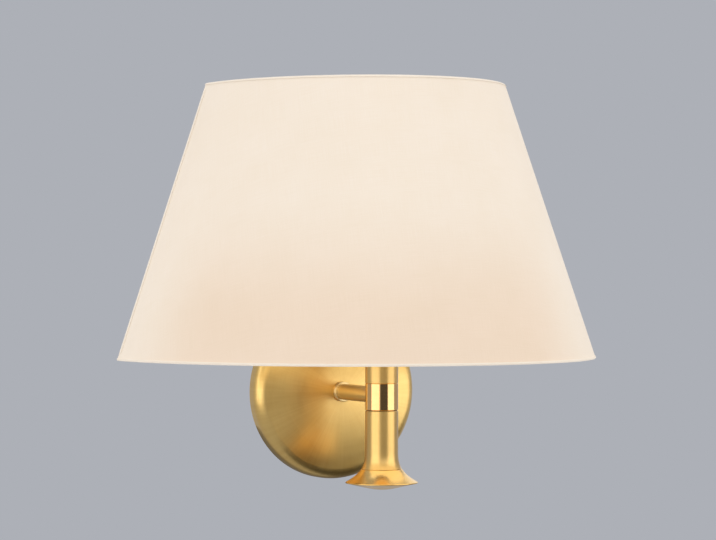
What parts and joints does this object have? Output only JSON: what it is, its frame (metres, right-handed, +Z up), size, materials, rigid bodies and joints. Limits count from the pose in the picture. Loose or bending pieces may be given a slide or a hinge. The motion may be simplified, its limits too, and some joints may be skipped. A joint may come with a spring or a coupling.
{
  "type": "half shade wall light",
  "caption": "Wall light with a round brass wall plate, a short arm, a turned brass column and a tapered fabric half shade over a screw-in bulb.",
  "frame": {"origin": "the point on the wall behind the middle of the wall plate, on the arm's axis", "axes": "+Z up, +Y into the wall, so the light stands out along -Y; +X to the right as seen from the room"},
  "size_m": [0.304, 0.1889, 0.2468],
  "materials": {
    "satin_brass": "spun or turned, fine circular brushing under clear lacquer",
    "polished_brass": "polished under clear lacquer",
    "dark_brass": "shadow-gap washer, dulled",
    "zinc_steel": "bright zinc plated",
    "terminal_brass": "plain turned or pressed",
    "black_rubber": "moulded",
    "nylon": "natural moulded nylon",
    "earth_insulation": "green and yellow lead insulation",
    "live_insulation": "brown lead insulation",
    "neutral_insulation": "blue lead insulation",
    "phenolic": "moulded, semi-gloss",
    "porcelain": "glazed",
    "cream_fabric": "smooth fine cotton, laminated",
    "hem_fabric": "turned edge of the same cotton",
    "liner_film": "white translucent laminate",
    "coated_wire": "white powder coat",
    "solder": "solder drop",
    "black_glass": "moulded black insulator",
    "nickel_shell": "nickel plated pressing",
    "bulb_glass": "clear blown glass",
    "stem_glass": "clear glass stem",
    "filament": "yellow phosphor strip on wire supports"
  },
  "bodies": {
    "wall_light": {"wall_plate": "satin_brass", "wall_bracket": "zinc_steel", "plate_grub_screws": "zinc_steel", "cable_grommet": "black_rubber", "terminal_block": "nylon", "terminal_clamps": "terminal_brass", "terminal_screws": "zinc_steel", "block_screw": "zinc_steel", "earth_screw": "zinc_steel", "earth_tag": "zinc_steel", "earth_lead": "earth_insulation", "live_lead": "live_insulation", "neutral_lead": "neutral_insulation", "arm_tube": "satin_brass", "arm_collar": "satin_brass", "arm_washer": "zinc_steel", "arm_lock_nut": "zinc_steel", "hub": "polished_brass", "spacer_washer": "dark_brass", "lower_column": "satin_brass", "foot": "polished_brass", "tie_rod": "zinc_steel", "upper_column": "satin_brass", "nipple": "zinc_steel", "column_cap": "satin_brass", "nipple_nut": "zinc_steel", "holder_cap": "phenolic", "holder_insert": "porcelain", "holder_contacts": "terminal_brass", "holder_screws": "zinc_steel", "holder_barrel": "phenolic", "shade_clamp_ring": "phenolic"},
    "shade": {"shade_fabric": "cream_fabric", "shade_liner": "liner_film", "bottom_hem": "hem_fabric", "top_hem": "hem_fabric", "back_hems": "hem_fabric", "back_uprights": "coated_wire", "back_bars": "coated_wire", "bottom_wire": "coated_wire", "top_wire": "coated_wire", "shade_fitter": "coated_wire"},
    "bulb": {"bulb_contact": "solder", "bulb_insulator": "black_glass", "bulb_cap": "nickel_shell", "bulb_glass": "bulb_glass", "bulb_stem": "stem_glass", "bulb_filaments": "filament"}
  },
  "joints": [
    {"name": "shade_turn", "type": "hinge", "parent": "wall_light", "child": "shade", "pos_m": [0, -0.0736, 0.06], "axis": [0, 0, 1], "range_deg": [-6, 6]},
    {"name": "bulb_unscrew", "type": "slide", "parent": "wall_light", "child": "bulb", "axis": [0, 0, 1], "range_m": [0, 0.011]}
  ]
}
